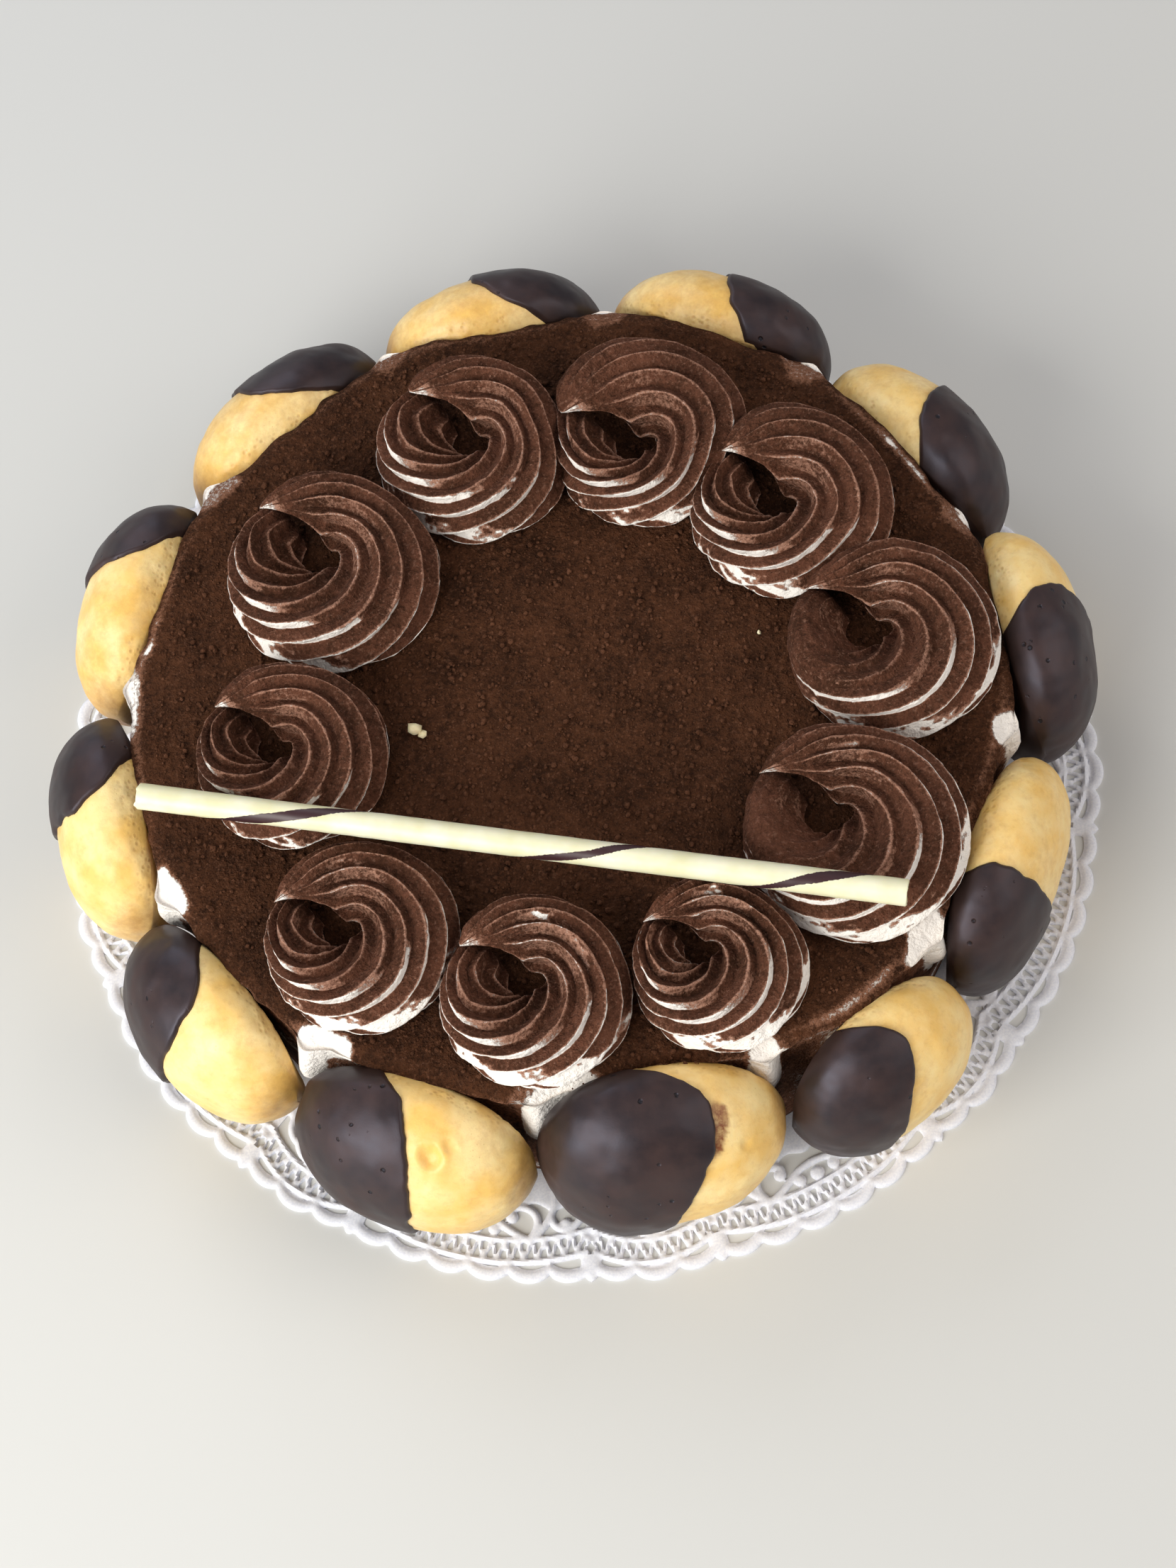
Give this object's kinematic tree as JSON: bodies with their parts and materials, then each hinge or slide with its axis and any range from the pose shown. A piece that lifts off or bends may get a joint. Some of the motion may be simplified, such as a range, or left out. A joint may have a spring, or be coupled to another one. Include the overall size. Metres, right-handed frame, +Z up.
{
  "type": "chocolate cream cake",
  "caption": "Round cream cake dusted with cocoa, ringed by sponge drops half dipped in dark chocolate, with piped rosettes and a white chocolate pencil on top, on a lace paper doily.",
  "frame": {"origin": "on the surface the doily rests on, under the middle of the cake", "axes": "+Z up; -Y faces the viewer of the picture, +X to the right"},
  "size_m": [0.3008, 0.3023, 0.083],
  "materials": {
    "white_paper": "matt lace paper",
    "cocoa_dusted_cream": "dry cocoa powder over whipped cream",
    "golden_sponge": "satin baked skin",
    "dark_chocolate": "satin set chocolate",
    "cocoa_dusted_piped_cream": "cocoa powder on the upper faces of whipped cream",
    "white_chocolate": "satin white chocolate with a thin dark chocolate stripe"
  },
  "bodies": {
    "root": {"doily": "white_paper", "cream_cake": "cocoa_dusted_cream", "sponge_drop_01": "golden_sponge", "chocolate_dip_01": "dark_chocolate", "sponge_drop_02": "golden_sponge", "chocolate_dip_02": "dark_chocolate", "sponge_drop_03": "golden_sponge", "chocolate_dip_03": "dark_chocolate", "sponge_drop_04": "golden_sponge", "chocolate_dip_04": "dark_chocolate", "sponge_drop_05": "golden_sponge", "chocolate_dip_05": "dark_chocolate", "sponge_drop_06": "golden_sponge", "chocolate_dip_06": "dark_chocolate", "sponge_drop_07": "golden_sponge", "chocolate_dip_07": "dark_chocolate", "sponge_drop_08": "golden_sponge", "chocolate_dip_08": "dark_chocolate", "sponge_drop_09": "golden_sponge", "chocolate_dip_09": "dark_chocolate", "sponge_drop_10": "golden_sponge", "chocolate_dip_10": "dark_chocolate", "sponge_drop_11": "golden_sponge", "chocolate_dip_11": "dark_chocolate", "sponge_drop_12": "golden_sponge", "chocolate_dip_12": "dark_chocolate", "rosette_01": "cocoa_dusted_piped_cream", "rosette_02": "cocoa_dusted_piped_cream", "rosette_03": "cocoa_dusted_piped_cream", "rosette_04": "cocoa_dusted_piped_cream", "rosette_05": "cocoa_dusted_piped_cream", "rosette_06": "cocoa_dusted_piped_cream", "rosette_07": "cocoa_dusted_piped_cream", "rosette_08": "cocoa_dusted_piped_cream", "rosette_09": "cocoa_dusted_piped_cream", "rosette_10": "cocoa_dusted_piped_cream", "white_chocolate_pencil": "white_chocolate"}
  },
  "joints": []
}
